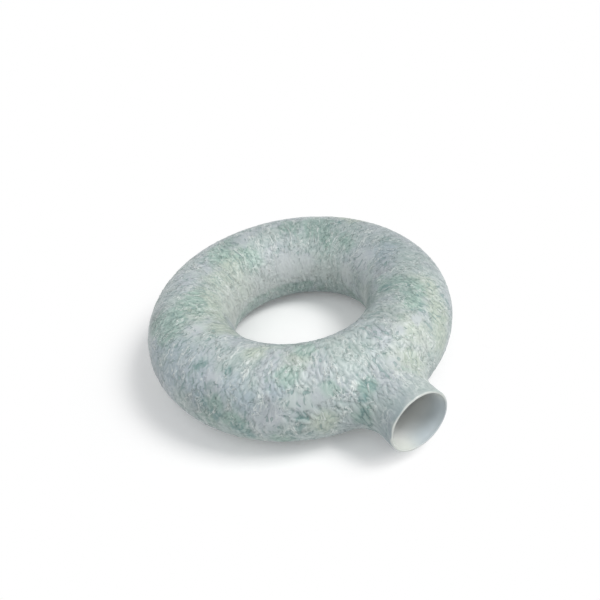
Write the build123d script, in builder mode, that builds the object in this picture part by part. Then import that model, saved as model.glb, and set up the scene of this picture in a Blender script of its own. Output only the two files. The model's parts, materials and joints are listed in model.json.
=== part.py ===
"""Donut vase: a hollow glazed ceramic ring with one short open neck.

The body is put together the way a press moulder does it. Two half rings are
pressed in open moulds and luted together at the mid-plane. An oval hole is cut
square through their outer edge, and a collar with a flared skirt is luted into
it, edge to edge. Opposite the neck the ring's edge is tapped flat, and the
vase stands on that flat with its neck up.

Lengths are in millimetres. The vase lies on its side: the ring's axis is along
+Z and the neck points along -Y. The origin is on the surface that the ring
lies on, under the middle of the bounding box.
"""
from build123d import *
from math import asin, tan
import os

# Driving dimensions of the ring
ring_outer_d = 220.0  # across the ring, outside to outside
tube_d = 62.0  # thickness of the ring, which is its height as it lies
ring_wall = 4.0  # clay wall of both half rings

# Driving dimensions of the neck
neck_length = 25.5  # from the ring's outer edge to the lip
neck_outer_d = 43.6  # outside of the collar, between its skirt and the lip
neck_wall = 3.0  # the collar is thinner than the ring
neck_blend_r = 26.0  # concave flare from the collar out to the ring
skirt_margin = 1.0  # plain ring wall that the skirt keeps past its flare
lip_flat = 0.4  # what is left flat between the two wiped edges of the lip

# Driving dimensions of the foot, opposite the neck
foot_flat_depth = 4.5  # how far the outer edge is tapped in
foot_edge_r = 1.5  # softened edge round the flat

# Cutting shapes run this far past the lip
overrun = 5.0

# Sizes worked out from the driving dimensions
ring_outer_r = ring_outer_d / 2
tube_r = tube_d / 2
ring_r = ring_outer_r - tube_r
hollow_r = tube_r - ring_wall
neck_outer_r = neck_outer_d / 2
neck_bore_r = neck_outer_r - neck_wall
hollow_blend_r = neck_blend_r + neck_wall
lip_round_r = (neck_wall - lip_flat) / 2
lip_reach = ring_outer_r + neck_length
foot_reach = ring_outer_r - foot_flat_depth
foot_inner_reach = foot_reach - ring_wall

# The bounding box is centred on the origin in X and Y
ring_centre = Vector(0, (lip_reach - foot_reach) / 2, tube_r)
mid_plane = Plane(ring_centre)
neck_plane = Plane(ring_centre, x_dir=(1, 0, 0), z_dir=(0, -1, 0))
foot_plane = Plane(ring_centre, x_dir=(1, 0, 0), z_dir=(0, 1, 0))

# The flare ends where a ball of its radius touches the ring. Seen from the ring's centre and
# from the tube's, that is at these angles from the neck's axis, in radians.
skirt_angle_along = asin((neck_outer_r + neck_blend_r) / (ring_outer_r + neck_blend_r))
skirt_angle_across = asin((neck_outer_r + neck_blend_r) / (tube_r + neck_blend_r))
skirt_slope_along = tan(skirt_angle_along + skirt_margin / ring_outer_r)
skirt_slope_across = tan(skirt_angle_across + skirt_margin / tube_r)


def ring_form(section_r, flat_reach):
    """A solid ring of the given section, cut flat at flat_reach from its axis."""
    with BuildPart() as form:
        with BuildSketch(neck_plane):
            with Locations((ring_r, 0)):
                Circle(section_r)
        revolve(axis=Axis(ring_centre, (0, 0, 1)))
        split(bisect_by=foot_plane.offset(flat_reach), keep=Keep.BOTTOM)
    return form.part


def neck_form(ring, collar_r, blend_r, collar_reach):
    """The ring given, with a round collar that sweeps up out of it."""
    with BuildPart() as form:
        add(ring)
        with BuildSketch(neck_plane.offset(ring_r)):
            Circle(collar_r)
        extrude(amount=collar_reach - ring_r)
        root = form.edges().filter_by(GeomType.BSPLINE).sort_by(Axis.Y)[0]
        fillet(root, radius=blend_r)
    return form.part


def skirt_form(near_reach, far_reach):
    """A flaring oval plug on the neck's axis, whose side stands square to the ring's wall."""
    with BuildPart() as form:
        for reach in (near_reach, far_reach):
            with BuildSketch(neck_plane.offset(reach)):
                Ellipse(reach * skirt_slope_along, (reach - ring_r) * skirt_slope_across)
        loft(ruled=True)
    return form.part


# The outside is the clay ring and its collar. The hollow is the same form, one wall smaller,
# and it runs out through the lip.
clay_outside = neck_form(ring_form(tube_r, foot_reach), neck_outer_r, neck_blend_r, lip_reach)
hollow = neck_form(
    ring_form(hollow_r, foot_inner_reach), neck_bore_r, hollow_blend_r, lip_reach + overrun
)
skirt_plug = skirt_form(ring_r + hollow_r / 4, lip_reach + overrun)

# All the clay together: the foot's edge softened, the inside hollow, the lip wiped round
with BuildPart() as clay_body:
    add(clay_outside)
    foot_outline = clay_body.faces().sort_by(Axis.Y)[-1].edges()
    fillet(foot_outline, radius=foot_edge_r)
    add(hollow, mode=Mode.SUBTRACT)
    lip_edges = clay_body.faces().sort_by(Axis.Y)[0].edges()
    fillet(lip_edges, radius=lip_round_r)

# Both half rings together, with the oval hole for the neck
with BuildPart() as ring_body:
    add(clay_body.part)
    add(skirt_plug, mode=Mode.SUBTRACT)

os.makedirs("parts", exist_ok=True)

# The half ring above the luted seam
with BuildPart() as ring_upper_half:
    add(ring_body.part)
    split(bisect_by=mid_plane, keep=Keep.TOP)
ring_upper_half.part.label = "ring_upper_half"
export_step(ring_upper_half.part, "parts/ring_upper_half.step")

# The half ring below the seam, which the vase lies on
with BuildPart() as ring_lower_half:
    add(ring_body.part)
    split(bisect_by=mid_plane, keep=Keep.BOTTOM)
ring_lower_half.part.label = "ring_lower_half"
export_step(ring_lower_half.part, "parts/ring_lower_half.step")

# The collar and its skirt, which fills the oval hole edge to edge
with BuildPart() as neck:
    add(clay_body.part)
    add(skirt_plug, mode=Mode.INTERSECT)
neck.part.label = "neck"
export_step(neck.part, "parts/neck.step")

for piece in (ring_upper_half, ring_lower_half, neck):
    print(f"{piece.part.label}: {piece.part.volume / 1000:.1f} cm3")
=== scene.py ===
# %% [markdown]
# A donut vase is a hollow ring of stoneware with one short neck. The potter dabs thick slip over
# the outside with a stiff brush, so that it is covered in small raised strokes, and then glazes it.
# The glaze breaks pale over the strokes and pools green and teal between them. This lesson dresses
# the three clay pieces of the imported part: two half rings and the neck.

# %% Load the frame
import json
from math import asin, ceil, cos, pi, radians, sin, tan

import bmesh
import bpy
import numpy as np
from mathutils import Matrix, Vector

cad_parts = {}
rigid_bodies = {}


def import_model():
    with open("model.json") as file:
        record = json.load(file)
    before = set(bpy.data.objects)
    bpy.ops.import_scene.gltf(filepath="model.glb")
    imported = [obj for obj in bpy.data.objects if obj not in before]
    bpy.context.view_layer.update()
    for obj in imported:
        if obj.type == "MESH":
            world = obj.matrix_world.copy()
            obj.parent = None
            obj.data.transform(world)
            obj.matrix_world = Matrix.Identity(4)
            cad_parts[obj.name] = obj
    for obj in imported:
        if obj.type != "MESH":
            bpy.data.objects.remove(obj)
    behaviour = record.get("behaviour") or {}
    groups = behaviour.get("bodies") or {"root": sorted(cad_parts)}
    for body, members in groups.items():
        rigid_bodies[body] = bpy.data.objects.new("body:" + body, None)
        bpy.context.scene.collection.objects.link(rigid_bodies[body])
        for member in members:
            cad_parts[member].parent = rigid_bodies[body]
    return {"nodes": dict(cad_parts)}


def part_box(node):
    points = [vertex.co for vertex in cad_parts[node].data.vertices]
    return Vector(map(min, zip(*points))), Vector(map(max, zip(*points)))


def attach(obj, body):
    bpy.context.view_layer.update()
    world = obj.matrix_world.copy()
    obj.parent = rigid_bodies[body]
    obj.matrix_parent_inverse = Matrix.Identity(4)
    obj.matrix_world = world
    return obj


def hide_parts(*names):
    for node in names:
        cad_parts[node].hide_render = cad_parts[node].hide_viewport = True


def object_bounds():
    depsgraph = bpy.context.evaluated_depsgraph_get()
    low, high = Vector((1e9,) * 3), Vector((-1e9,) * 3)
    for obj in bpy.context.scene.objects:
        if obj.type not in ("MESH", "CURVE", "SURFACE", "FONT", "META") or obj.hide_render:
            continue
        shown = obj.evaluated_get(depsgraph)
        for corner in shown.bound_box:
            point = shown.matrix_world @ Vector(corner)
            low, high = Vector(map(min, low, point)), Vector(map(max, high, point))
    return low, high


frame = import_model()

cad_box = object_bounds()
print("pieces:", sorted(frame["nodes"]), "box:", [tuple(round(c, 4) for c in p) for p in cad_box])

# %% [markdown]
# Every later cell needs the vase's real sizes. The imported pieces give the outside, and the wall,
# the flare at the neck's root and the rounds of the lip are the ones that the potter keeps to.
# The ring has its own coordinates: u is the angle round the ring, counted from the neck, and v is
# the angle round the tube, counted from the ring's outer edge.

# %% The vase's sizes, in metres
low, high = cad_box
TUBE_R = (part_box("ring_upper_half")[1].z - low.z) / 2
RING_OUT = (high.x - low.x) / 2
RING_R = RING_OUT - TUBE_R
WALL, COLLAR_WALL = 0.004, 0.003
HOLLOW_R = TUBE_R - WALL
COLLAR_R = 0.0218
BORE_R = COLLAR_R - COLLAR_WALL
FLARE_R, SKIRT_MARGIN = 0.026, 0.001
INNER_FLARE_R = FLARE_R + COLLAR_WALL
FOOT_DEPTH, FOOT_ROUND = 0.0045, 0.0010
FOOT_REACH = RING_OUT - FOOT_DEPTH
LIP_REACH, LIP_ROUND = high.y - low.y - FOOT_REACH, 0.0010
RING_CENTRE = np.array([0.0, low.y + LIP_REACH, TUBE_R])
print(f"ring {RING_OUT * 2000:.0f} mm across, tube {TUBE_R * 2000:.0f} mm,",
      f"lip {LIP_REACH * 1000:.1f} mm from the ring's centre")

# %% [markdown]
# The camera comes first, so that each piece can be judged as it is made. It looks down at the
# vase from the left of the neck, leans a little and is held slightly off the middle, as a camera
# in the hand is. The lens follows from how fast the ring's far side shrinks.

# %% The camera
TURN, HEIGHT, LEAN, PAN, TILT = (radians(a) for a in (25.835, 37.947, -9.835, 3.35, -2.068))
CAMERA_AWAY = 0.4973
LENS, FILM_WIDTH = 40.72, 36
SHIFT = (-40 / 600, -10 / 600)

right = Vector((cos(TURN), -sin(TURN), 0))
ahead = Vector((sin(TURN), cos(TURN), 0))
up = ahead * sin(HEIGHT) + Vector((0, 0, cos(HEIGHT)))
back = Vector((0, 0, sin(HEIGHT))) - ahead * cos(HEIGHT)
facing = Matrix.Rotation(TILT, 3, "X") @ Matrix.Rotation(PAN, 3, "Y") @ Matrix.Rotation(-LEAN, 3, "Z")
facing = facing @ Matrix((right, up, back))
stand = Matrix.Translation(Vector(RING_CENTRE) + back * CAMERA_AWAY)

camera_data = bpy.data.cameras.new("camera")
camera_data.lens, camera_data.sensor_width = LENS, FILM_WIDTH
camera_data.shift_x, camera_data.shift_y = SHIFT
camera = bpy.data.objects.new("camera", camera_data)
camera.matrix_world = stand @ facing.transposed().to_4x4()
bpy.context.scene.collection.objects.link(camera)
bpy.context.scene.camera = camera
print("camera at", tuple(round(c, 3) for c in camera.location))

# %% [markdown]
# Node trees are built in code all through this lesson, so small helpers come next. One adds a node
# and fills its sockets with numbers or with links. The others do one step of arithmetic each.

# %% Helpers for node trees
def put(tree, kind, values=None, **settings):
    """A new node. Values go to its sockets by name or number, and may be links from other nodes."""
    node = tree.nodes.new(kind)
    for name, value in settings.items():
        setattr(node, name, value)
    for socket, value in (values or {}).items():
        if isinstance(value, bpy.types.NodeSocket):
            tree.links.new(value, node.inputs[socket])
        else:
            node.inputs[socket].default_value = value
    return node


def calc(tree, operation, *values, clamp=False):
    """One step of arithmetic on numbers."""
    node = put(tree, "ShaderNodeMath", dict(enumerate(values)), operation=operation, use_clamp=clamp)
    return node.outputs[0]


def plus(tree, first, second, clamp=False):
    return calc(tree, "ADD", first, second, clamp=clamp)


def minus(tree, first, second, clamp=False):
    return calc(tree, "SUBTRACT", first, second, clamp=clamp)


def times(tree, first, second, clamp=False):
    return calc(tree, "MULTIPLY", first, second, clamp=clamp)


def over(tree, first, second):
    return calc(tree, "DIVIDE", first, second)


def aim(tree, operation, *values):
    """One step of arithmetic on vectors. It puts out a vector, or a number where that is the answer."""
    node = put(tree, "ShaderNodeVectorMath", dict(enumerate(values)), operation=operation)
    return node.outputs["Value" if operation in ("DOT_PRODUCT", "LENGTH") else "Vector"]


def scaled(tree, vector, factor):
    """A vector made longer or shorter."""
    return put(tree, "ShaderNodeVectorMath", {0: vector, "Scale": factor}, operation="SCALE").outputs[0]


def ramp(tree, value, start, end, low=0.0, high=1.0):
    """A smooth step from low to high as value goes from start to end."""
    sockets = {"Value": value, "From Min": start, "From Max": end, "To Min": low, "To Max": high}
    return put(tree, "ShaderNodeMapRange", sockets, interpolation_type="SMOOTHSTEP").outputs[0]


def seen_rays(tree):
    """1 for the camera and for mirrored views, 0 for light on its way to a surface."""
    rays = put(tree, "ShaderNodeLightPath").outputs
    return calc(tree, "MAXIMUM", rays["Is Camera Ray"], rays["Is Glossy Ray"])


def sockets_of(tree, direction, **kinds):
    """Names the inputs or outputs of a tree, in order."""
    for name, kind in kinds.items():
        tree.interface.new_socket(name.replace("_", " "), in_out=direction, socket_type=kind)


print("helpers ready")

# %% [markdown]
# The light is that of a plain studio: a pale surround, and one large soft lamp high up in front of
# the vase on the right, which draws the shadow to the left and away. A weak second lamp keeps the
# left side from going dull. The sheet under the vase throws light up at it from below.

# %% Lamps and surround
COOL_WHITE, ROOM_LIGHT = (0.975, 0.985, 1.0), 0.43
surround = bpy.data.worlds.new("surround")
bpy.context.scene.world = surround
surround.use_nodes = True
room_tree = surround.node_tree
room_light = room_tree.nodes["Background"]
room_light.inputs["Color"].default_value = (*COOL_WHITE, 1)
room_light.inputs["Strength"].default_value = ROOM_LIGHT
white_paper = put(room_tree, "ShaderNodeBackground", {"Color": (1, 1, 1, 1)})
whole_room = put(room_tree, "ShaderNodeMixShader", {
    0: seen_rays(room_tree), 1: room_light.outputs[0], 2: white_paper.outputs[0]})
room_tree.links.new(whole_room.outputs[0], room_tree.nodes["World Output"].inputs[0])


def soft_lamp(name, place, size, power, colour):
    """A square area lamp that faces the middle of the ring."""
    data = bpy.data.lights.new(name, "AREA")
    data.size, data.energy, data.color = size, power, colour
    lamp = bpy.data.objects.new(name, data)
    lamp.location = place
    lamp.rotation_euler = (Vector(RING_CENTRE) - Vector(place)).to_track_quat("-Z", "Y").to_euler()
    bpy.context.scene.collection.objects.link(lamp)


soft_lamp("key_lamp", place=(0.49, -0.55, 1.1), size=0.5, power=9.9, colour=(1.0, 0.99, 0.975))
soft_lamp("fill_lamp", place=(-0.55, -0.35, 1.0), size=0.8, power=2.3, colour=COOL_WHITE)

# %% [markdown]
# The form is a rule, so it is worked out in numbers instead of being copied from the packed
# triangles, which are too coarse for brush strokes. A point of the ring comes from u and v. Near
# the neck, a ball rolls round between the tube and the collar and leaves the concave flare. The
# skirt of the neck ends at an oval, where the collar was luted into the ring.

# %% Points of the ring
def tube_point(u, v, radius):
    """A point of the ring's tube: across, towards the mouth and up, from the ring's centre."""
    reach = RING_R + radius * np.cos(v)
    return np.stack([reach * np.sin(u), reach * np.cos(u), radius * np.sin(v)], -1)


def tube_normal(u, v):
    """The way straight out of the tube there."""
    return np.stack([np.cos(v) * np.sin(u), np.cos(v) * np.cos(u), np.sin(v)], -1)


LATERAL = COLLAR_R + FLARE_R
SLOPE_ALONG = tan(asin(LATERAL / (RING_OUT + FLARE_R)) + SKIRT_MARGIN / RING_OUT)
SLOPE_ACROSS = tan(asin(LATERAL / (TUBE_R + FLARE_R)) + SKIRT_MARGIN / TUBE_R)
TINY = 1e-4


def oval(angle, radius):
    """u and v of the oval in which the neck's skirt ends, by the angle round the neck."""
    u = np.arctan(SLOPE_ALONG * np.cos(angle))
    lean = SLOPE_ACROSS * np.sin(angle)
    a, b = radius, radius * lean * np.cos(u)
    v = np.arctan2(b, a) + np.arcsin(lean * RING_R * (np.cos(u) - 1) / np.hypot(a, b))
    return u, v


def oval_share(u, v, radius):
    """1 on that oval, less inside it and more outside."""
    x, s, z = np.moveaxis(tube_point(u, v, radius), -1, 0)
    return np.hypot(x / s / SLOPE_ALONG, z / np.maximum(s - RING_R, TINY) / SLOPE_ACROSS)


def press_foot(points, normals, reach):
    """Taps the ring's edge flat, away from the neck. Also gives how much each point was on the flat."""
    past = -points[..., 1] - reach
    root = np.hypot(past, FOOT_ROUND)
    on_flat = (1 + past / root) / 2
    pressed = points.copy()
    pressed[..., 1] += (past + root) / 2
    leaned = normals * (1 - on_flat[..., None]) + on_flat[..., None] * np.array([0, -1, 0])
    return pressed, leaned / np.linalg.norm(leaned, axis=-1, keepdims=True), on_flat


u_oval, v_oval = np.degrees(oval(np.array([0, pi / 2]), TUBE_R))
print(f"the skirt reaches {u_oval[0]:.1f} degrees along the ring, {v_oval[1]:.1f} over it")

# %% [markdown]
# The neck is made in columns, which run up it side by side like the staves of a barrel. They are
# spaced evenly along the skirt's edge, because that is where the half rings are joined to them. The
# rolling ball tells where each column leaves the tube and where it reaches the collar.

# %% Angles of the neck's columns
COLUMNS_PER_QUARTER, TRIAL_ANGLES = 76, 1501


def flare(angle, radius, collar_r, ball_r):
    """The rolling ball at an angle round the neck: its centre, and the ways to both of its touches."""
    across, rise = (collar_r + ball_r) * np.cos(angle), (collar_r + ball_r) * np.sin(angle)
    s = np.sqrt((RING_R + np.sqrt((radius + ball_r) ** 2 - rise ** 2)) ** 2 - across ** 2)
    centre = np.stack([across, s, rise], -1)
    core = np.stack([across, s, 0 * s], -1) * (RING_R / np.hypot(across, s))[..., None]
    to_tube = (core - centre) / np.linalg.norm(core - centre, axis=-1, keepdims=True)
    to_collar = -np.stack([np.cos(angle), 0 * s, np.sin(angle)], -1)
    return centre, to_tube, to_collar


def oval_angle(touch):
    """The angle round the oval that goes with a touch on the tube."""
    x, s, z = np.moveaxis(touch, -1, 0)
    return np.arctan2(z / (s - RING_R) / SLOPE_ACROSS, x / s / SLOPE_ALONG)


def quarter_to_round(quarter):
    """Mirrors the angles of a quarter turn to the whole turn."""
    half = np.concatenate([quarter, pi - quarter[-2::-1]])
    return np.concatenate([half, 2 * pi - half[-2:0:-1]])


trial_turn = np.linspace(0, pi / 2, TRIAL_ANGLES)
ball, to_tube, _ = flare(trial_turn, TUBE_R, COLLAR_R, FLARE_R)
trial_edge = tube_point(*oval(oval_angle(ball + FLARE_R * to_tube), TUBE_R), TUBE_R)
edge_run = np.concatenate([[0], np.cumsum(np.linalg.norm(np.diff(trial_edge, axis=0), axis=1))])
even = np.interp(np.linspace(0, edge_run[-1], COLUMNS_PER_QUARTER + 1), edge_run, trial_turn)
neck_turn = quarter_to_round(even)
column_gap = edge_run[-1] / COLUMNS_PER_QUARTER * 1000
print(len(neck_turn), "columns,", round(column_gap, 2), "mm apart at the skirt")

# %% [markdown]
# A column runs from the skirt's edge over the flare, up the collar, round the lip and back down
# inside. It is drawn finely first and then divided evenly, so that the mesh is as even as a woven
# cloth and takes the strokes well.

# %% Columns from the skirt up the collar
SKIRT_STEPS, FLARE_STEPS, COLLAR_STEPS = 24, 160, 60


def skirt_and_collar(radius, collar_r, ball_r, top):
    """Fine columns from the skirt's edge to the top of the collar, with their outward normals."""
    centre, to_tube, to_collar = flare(neck_turn, radius, collar_r, ball_r)
    touch = centre + ball_r * to_tube
    u0, v0 = oval(np.mod(oval_angle(touch), 2 * pi), radius)
    rim = np.hypot(touch[:, 0], touch[:, 1])
    u1, v1 = np.arctan2(touch[:, 0], touch[:, 1]), np.arctan2(touch[:, 2], rim - RING_R)
    t = np.linspace(0, 1, SKIRT_STEPS)[:, None]
    u, v = u0 + (u1 - u0) * t, v0 + (v1 - v0) * t
    points, normals = [tube_point(u, v, radius)], [tube_normal(u, v)]
    swing = np.arccos(np.clip((to_tube * to_collar).sum(-1), -1, 1))
    t = np.linspace(0, 1, FLARE_STEPS)[1:, None]
    ways = (np.sin((1 - t) * swing)[..., None] * to_tube + np.sin(t * swing)[..., None] * to_collar)
    ways /= np.linalg.norm(ways, axis=-1, keepdims=True)
    points.append(centre + ball_r * ways)
    normals.append(-ways)
    t = np.linspace(0, 1, COLLAR_STEPS)[1:, None, None]
    foot = centre + ball_r * to_collar
    crown = foot * [1, 0, 1] + np.array([0, top, 0])
    points.append(foot + (crown - foot) * t)
    normals.append(np.broadcast_to(-to_collar, points[-1].shape))
    return np.concatenate(points), np.concatenate(normals)


def divide(columns, rows):
    """Divides each fine column evenly into rows."""
    points, normals = columns
    run = np.concatenate([np.zeros((1, points.shape[1])),
                          np.cumsum(np.linalg.norm(np.diff(points, axis=0), axis=-1), axis=0)])
    even_points, even_normals = (np.empty((rows, *points.shape[1:])) for _ in range(2))
    for j in range(points.shape[1]):
        where = np.linspace(0, run[-1, j], rows)
        for axis in range(3):
            even_points[:, j, axis] = np.interp(where, run[:, j], points[:, j, axis])
            even_normals[:, j, axis] = np.interp(where, run[:, j], normals[:, j, axis])
    return even_points, even_normals / np.linalg.norm(even_normals, axis=-1, keepdims=True)


print("a fine column has", SKIRT_STEPS + FLARE_STEPS + COLLAR_STEPS - 2, "points")

# %% [markdown]
# The lip is wiped round with a wet finger on both edges. The finger also eases the bore open over
# the last few millimetres, so the lip ends thinner than the collar under it.

# %% The neck's mesh
EASED, EASED_DEPTH, INNER_ROUND = 0.0014, 0.009, 0.0005
OUTER_ROWS, INNER_ROWS, ROWS_PER_ROUND = 66, 34, 6


def ease_bore(points):
    """Opens the bore towards the lip."""
    near = np.clip((points[..., 1] - (LIP_REACH - EASED_DEPTH)) / (EASED_DEPTH - LIP_ROUND), 0, 1)
    widen = 1 + near ** 2 * EASED / BORE_R
    return points * np.stack([widen, np.ones_like(widen), widen], -1)


def rounded_lip():
    """Rows over the lip, from the outside of the collar to the bore, with their normals."""
    lateral = np.stack([np.cos(neck_turn), 0 * neck_turn, np.sin(neck_turn)], -1)
    points, normals = [], []
    inner = BORE_R + EASED + INNER_ROUND
    for middle, start, size in ((COLLAR_R - LIP_ROUND, 0, LIP_ROUND), (inner, pi / 2, INNER_ROUND)):
        for swing in start + np.linspace(0, pi / 2, ROWS_PER_ROUND):
            way = lateral * cos(swing) + np.array([0, sin(swing), 0])
            points.append(lateral * middle + np.array([0, LIP_REACH - size, 0]) + size * way)
            normals.append(way)
    return np.array(points), np.array(normals)


collar_top = LIP_REACH - LIP_ROUND
outside, outside_normals = divide(skirt_and_collar(TUBE_R, COLLAR_R, FLARE_R, collar_top), OUTER_ROWS)
inside, inside_normals = divide(skirt_and_collar(HOLLOW_R, BORE_R, INNER_FLARE_R, collar_top), INNER_ROWS)
lip, lip_normals = rounded_lip()
neck_points = np.concatenate([outside, lip[1:], ease_bore(inside)[::-1]])
neck_normals = np.concatenate([outside_normals, lip_normals[1:], -inside_normals[::-1]])
row_total, column_total = neck_points.shape[:2]
lip_wall = (COLLAR_R - BORE_R - EASED) * 1000
print("neck:", row_total, "rows of", column_total, "points, lip", round(lip_wall, 1), "mm thick")

# %% [markdown]
# Each skin of a half ring is laid in rows, from the outer edge of the ring over the tube to the
# inner edge. A row near the inner edge is short, so it gets fewer points. Rows that meet the oval
# stop short of it, and a zip of triangles closes what is left. Both skins are joined at the rims.

# %% Zips between rows
def zip_chains(lower, upper, at_lower, at_upper):
    """Triangles between two chains of points, by a value that grows along both."""
    faces, i, j = [], 0, 0
    while i < len(lower) - 1 or j < len(upper) - 1:
        if j == len(upper) - 1 or (i < len(lower) - 1 and at_lower[i + 1] <= at_upper[j + 1]):
            faces.append((lower[i], lower[i + 1], upper[j]))
            i += 1
        else:
            faces.append((lower[i], upper[j + 1], upper[j]))
            j += 1
    return faces


def zip_loops(lower, upper):
    """The same between two closed rows that start at the same angle."""
    lower, upper = lower + lower[:1], upper + upper[:1]
    return zip_chains(lower, upper, np.linspace(0, 1, len(lower)), np.linspace(0, 1, len(upper)))


print("a zip of 3 and 4 points has", len(zip_loops([0, 1, 2], [3, 4, 5, 6])), "triangles")

# %% [markdown]
# A skin is told its rows in bands: from which v to which, in degrees, and how many points a row of
# that band has. Each row is noted as how many points it would have all round the ring, which of
# them is the first beside the oval, and the number of that point in the mesh. From a v of
# PAST_OVAL_V on, in radians, no row meets the oval, so each of them is whole.

# %% Rows of the half rings
OUTER_BANDS = ((0, 66, 840), (66, 105, 684), (105, 140, 500), (140, 180, 400))
HOLLOW_BANDS = ((0, 78, 120), (78, 180, 84))
OUTER_SPACING, HOLLOW_SPACING = 0.00076, 0.004
PAST_OVAL_V = 1.3
OVAL_GAP = 0.45
FAR_SHARE = 9.0


def lay_rows(radius, spacing, bands, count):
    """The rows of one skin as lists of u and of v, and the notes on them. Count is the first number."""
    all_u, all_v, rows = [], [], []
    for start, end, columns in bands:
        steps = ceil(radians(end - start) * radius / spacing)
        for k in range(steps + (end == 180)):
            v = radians(start + (end - start) * k / steps)
            u = np.arange(columns) * 2 * pi / columns
            near = u[:columns // 4]
            share = np.full(near.shape, FAR_SHARE)
            if v < PAST_OVAL_V:
                share = oval_share(near, v + 0 * near, radius)
            first = int(np.argmax(share > 1 + OVAL_GAP * spacing / TUBE_R))
            kept = u[first:columns - first + 1] if first else u
            rows.append((columns, first, count))
            all_u.append(kept)
            all_v.append(v + 0 * kept)
            count += len(kept)
    return all_u, all_v, rows


def number_of(row, i):
    """The number in the mesh of point i of a row."""
    columns, first, start = row
    return start + (i - first if first else i % columns)


def between_rows(rows):
    """The faces between the rows of a skin: squares, or a zip where the count of points changes."""
    faces = []
    for row, above in zip(rows, rows[1:]):
        columns, first, _ = row
        if columns == above[0]:
            last = columns - first if first else columns
            corners = ((row, 0), (row, 1), (above, 1), (above, 0))
            faces += [tuple(number_of(each, i + step) for each, step in corners) for i in range(first, last)]
        else:
            faces += zip_loops(*([number_of(each, i) for i in range(each[0])] for each in (row, above)))
    return faces


print("a row of four points starts again at number", number_of((4, 0, 0), 4))

# %% [markdown]
# The rows that stop beside the oval leave a stair of points round it. A zip of triangles joins the
# stair to the chain of points along the oval. That chain is the neck's own, so the joint closes
# exactly.

# %% Skins of the half rings
def stair(rows):
    """The points of the rows that lie next to the oval, from the seam over it and down to the seam."""
    steps, k = [], 0
    while rows[k][1]:
        steps += [(k, rows[k][1])] + [(k + 1, i) for i in range(rows[k][1], rows[k + 1][1], -1)]
        k += 1
    columns = rows[k][0]
    steps = steps + [(k, 0)] + [(row, columns - i) for row, i in reversed(steps)]
    return [number_of(rows[row], i) for row, i in steps]


def skin(radius, spacing, bands, oval_turn):
    """One skin of the upper half ring. Gives u, v, the faces, and the chains along its three rims."""
    u_edge, v_edge = oval(oval_turn, radius)
    edge = list(range(len(u_edge)))
    row_u, row_v, rows = lay_rows(radius, spacing, bands, len(edge))
    u, v = np.concatenate([u_edge, *row_u]), np.concatenate([v_edge, *row_v])
    beside = stair(rows)
    swing = np.arctan2(v, np.where(u > pi, u - 2 * pi, u))
    faces = between_rows(rows) + zip_chains(edge, beside, swing[edge], swing[beside])
    columns, first, _ = rows[0]
    seam = [number_of(rows[0], i) for i in range(first, columns - first + 1)]
    inner = [number_of(rows[-1], i) for i in range(rows[-1][0])]
    return u, v, faces, edge, [edge[0], *seam, edge[-1]], inner


def skirt_angles(radius, collar_r, ball_r, every=1):
    """Where the neck's columns meet the oval, over its upper half."""
    centre, to_tube, _ = flare(neck_turn, radius, collar_r, ball_r)
    return np.mod(oval_angle(centre + ball_r * to_tube), 2 * pi)[:2 * COLUMNS_PER_QUARTER + 1:every]


outer_skin = skin(TUBE_R, OUTER_SPACING, OUTER_BANDS, skirt_angles(TUBE_R, COLLAR_R, FLARE_R))
hollow_skin = skin(HOLLOW_R, HOLLOW_SPACING, HOLLOW_BANDS,
                   skirt_angles(HOLLOW_R, BORE_R, INNER_FLARE_R, every=4))
print("outer skin:", len(outer_skin[0]), "points, hollow:", len(hollow_skin[0]))

# %% [markdown]
# The glaze isn't the same all over. It ran thick and level in lilac-grey patches, broke green where
# it was thin, kept a sage warmth where the clay shows through, cooled to blue-grey on one flank, and
# pooled dark in a few hollows. Over wider areas the colour is painted darker as painted shade, most of
# all on the ring's top, and paler as painted light, most of all on its inner wall. Each patch is listed
# by u and v in degrees and its radius in millimetres. Where the flare lies above the tube, a fourth
# number lifts the middle of the patch by that many millimetres.

# %% Places of the glaze
CALM = ((-63, 47, 9), (-40, 16, 9), (-24, 37, 7), (-31, 30, 7), (-88, 91, 9), (-177, 96, 9),
        (157, 160, 13), (141, 160, 10), (87, 134, 12), (78, 150, 9), (101, 164, 10), (25, 60, 6),
        (16, 66, 6), (4, 40, 6), (-140, -40, 15), (120, -20, 13), (60, -35, 12))
GREEN = ((135, 101, 15), (124, 128, 12), (112, 118, 9), (-160, 98, 11), (-174, 126, 12),
         (45, 108, 12), (43, 88, 12), (33, 74, 7), (-112, 104, 13), (-104, 79, 14), (-96, 66, 11),
         (-109, 49, 11), (151, 98, 9), (-173, 92, 8), (-34, 64, 8), (-26, 101, 8), (-21, 41, 6),
         (-9, 26, 8), (-12, 11, 6, 7), (-13, 2, 7, 6), (-61, 22, 8), (-64, 1, 10), (-54, 5, 10),
         (-39, -24, 9), (-160, -10, 18), (90, -60, 18), (140, -30, 14))
SAGE = ((-162, 128, 17), (-140, 134, 17), (-120, 128, 16), (-104, 113, 15), (-152, 164, 17),
        (-124, 162, 16), (-84, 128, 12), (46, 66, 14), (33, 76, 10), (36, 38, 13), (20, 58, 16),
        (30, 18, 12), (9, 30, 15), (8, 12, 12), (-100, 128, 13), (-122, 168, 14), (-30, 86, 10),
        (-24, 3, 9), (-50, 100, 9), (120, 60, 14), (160, -35, 15), (-110, -45, 14))
BLUE = ((-97, 32, 15), (-83, 34, 15), (-87, 56, 11), (-76, 60, 10), (-71, 44, 13), (-66, 27, 12),
        (-55, 48, 11), (-49, 33, 10), (-3, 14, 8), (-38, 50, 8), (80, 105, 12), (100, 0, 15),
        (-150, 20, 14))
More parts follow.
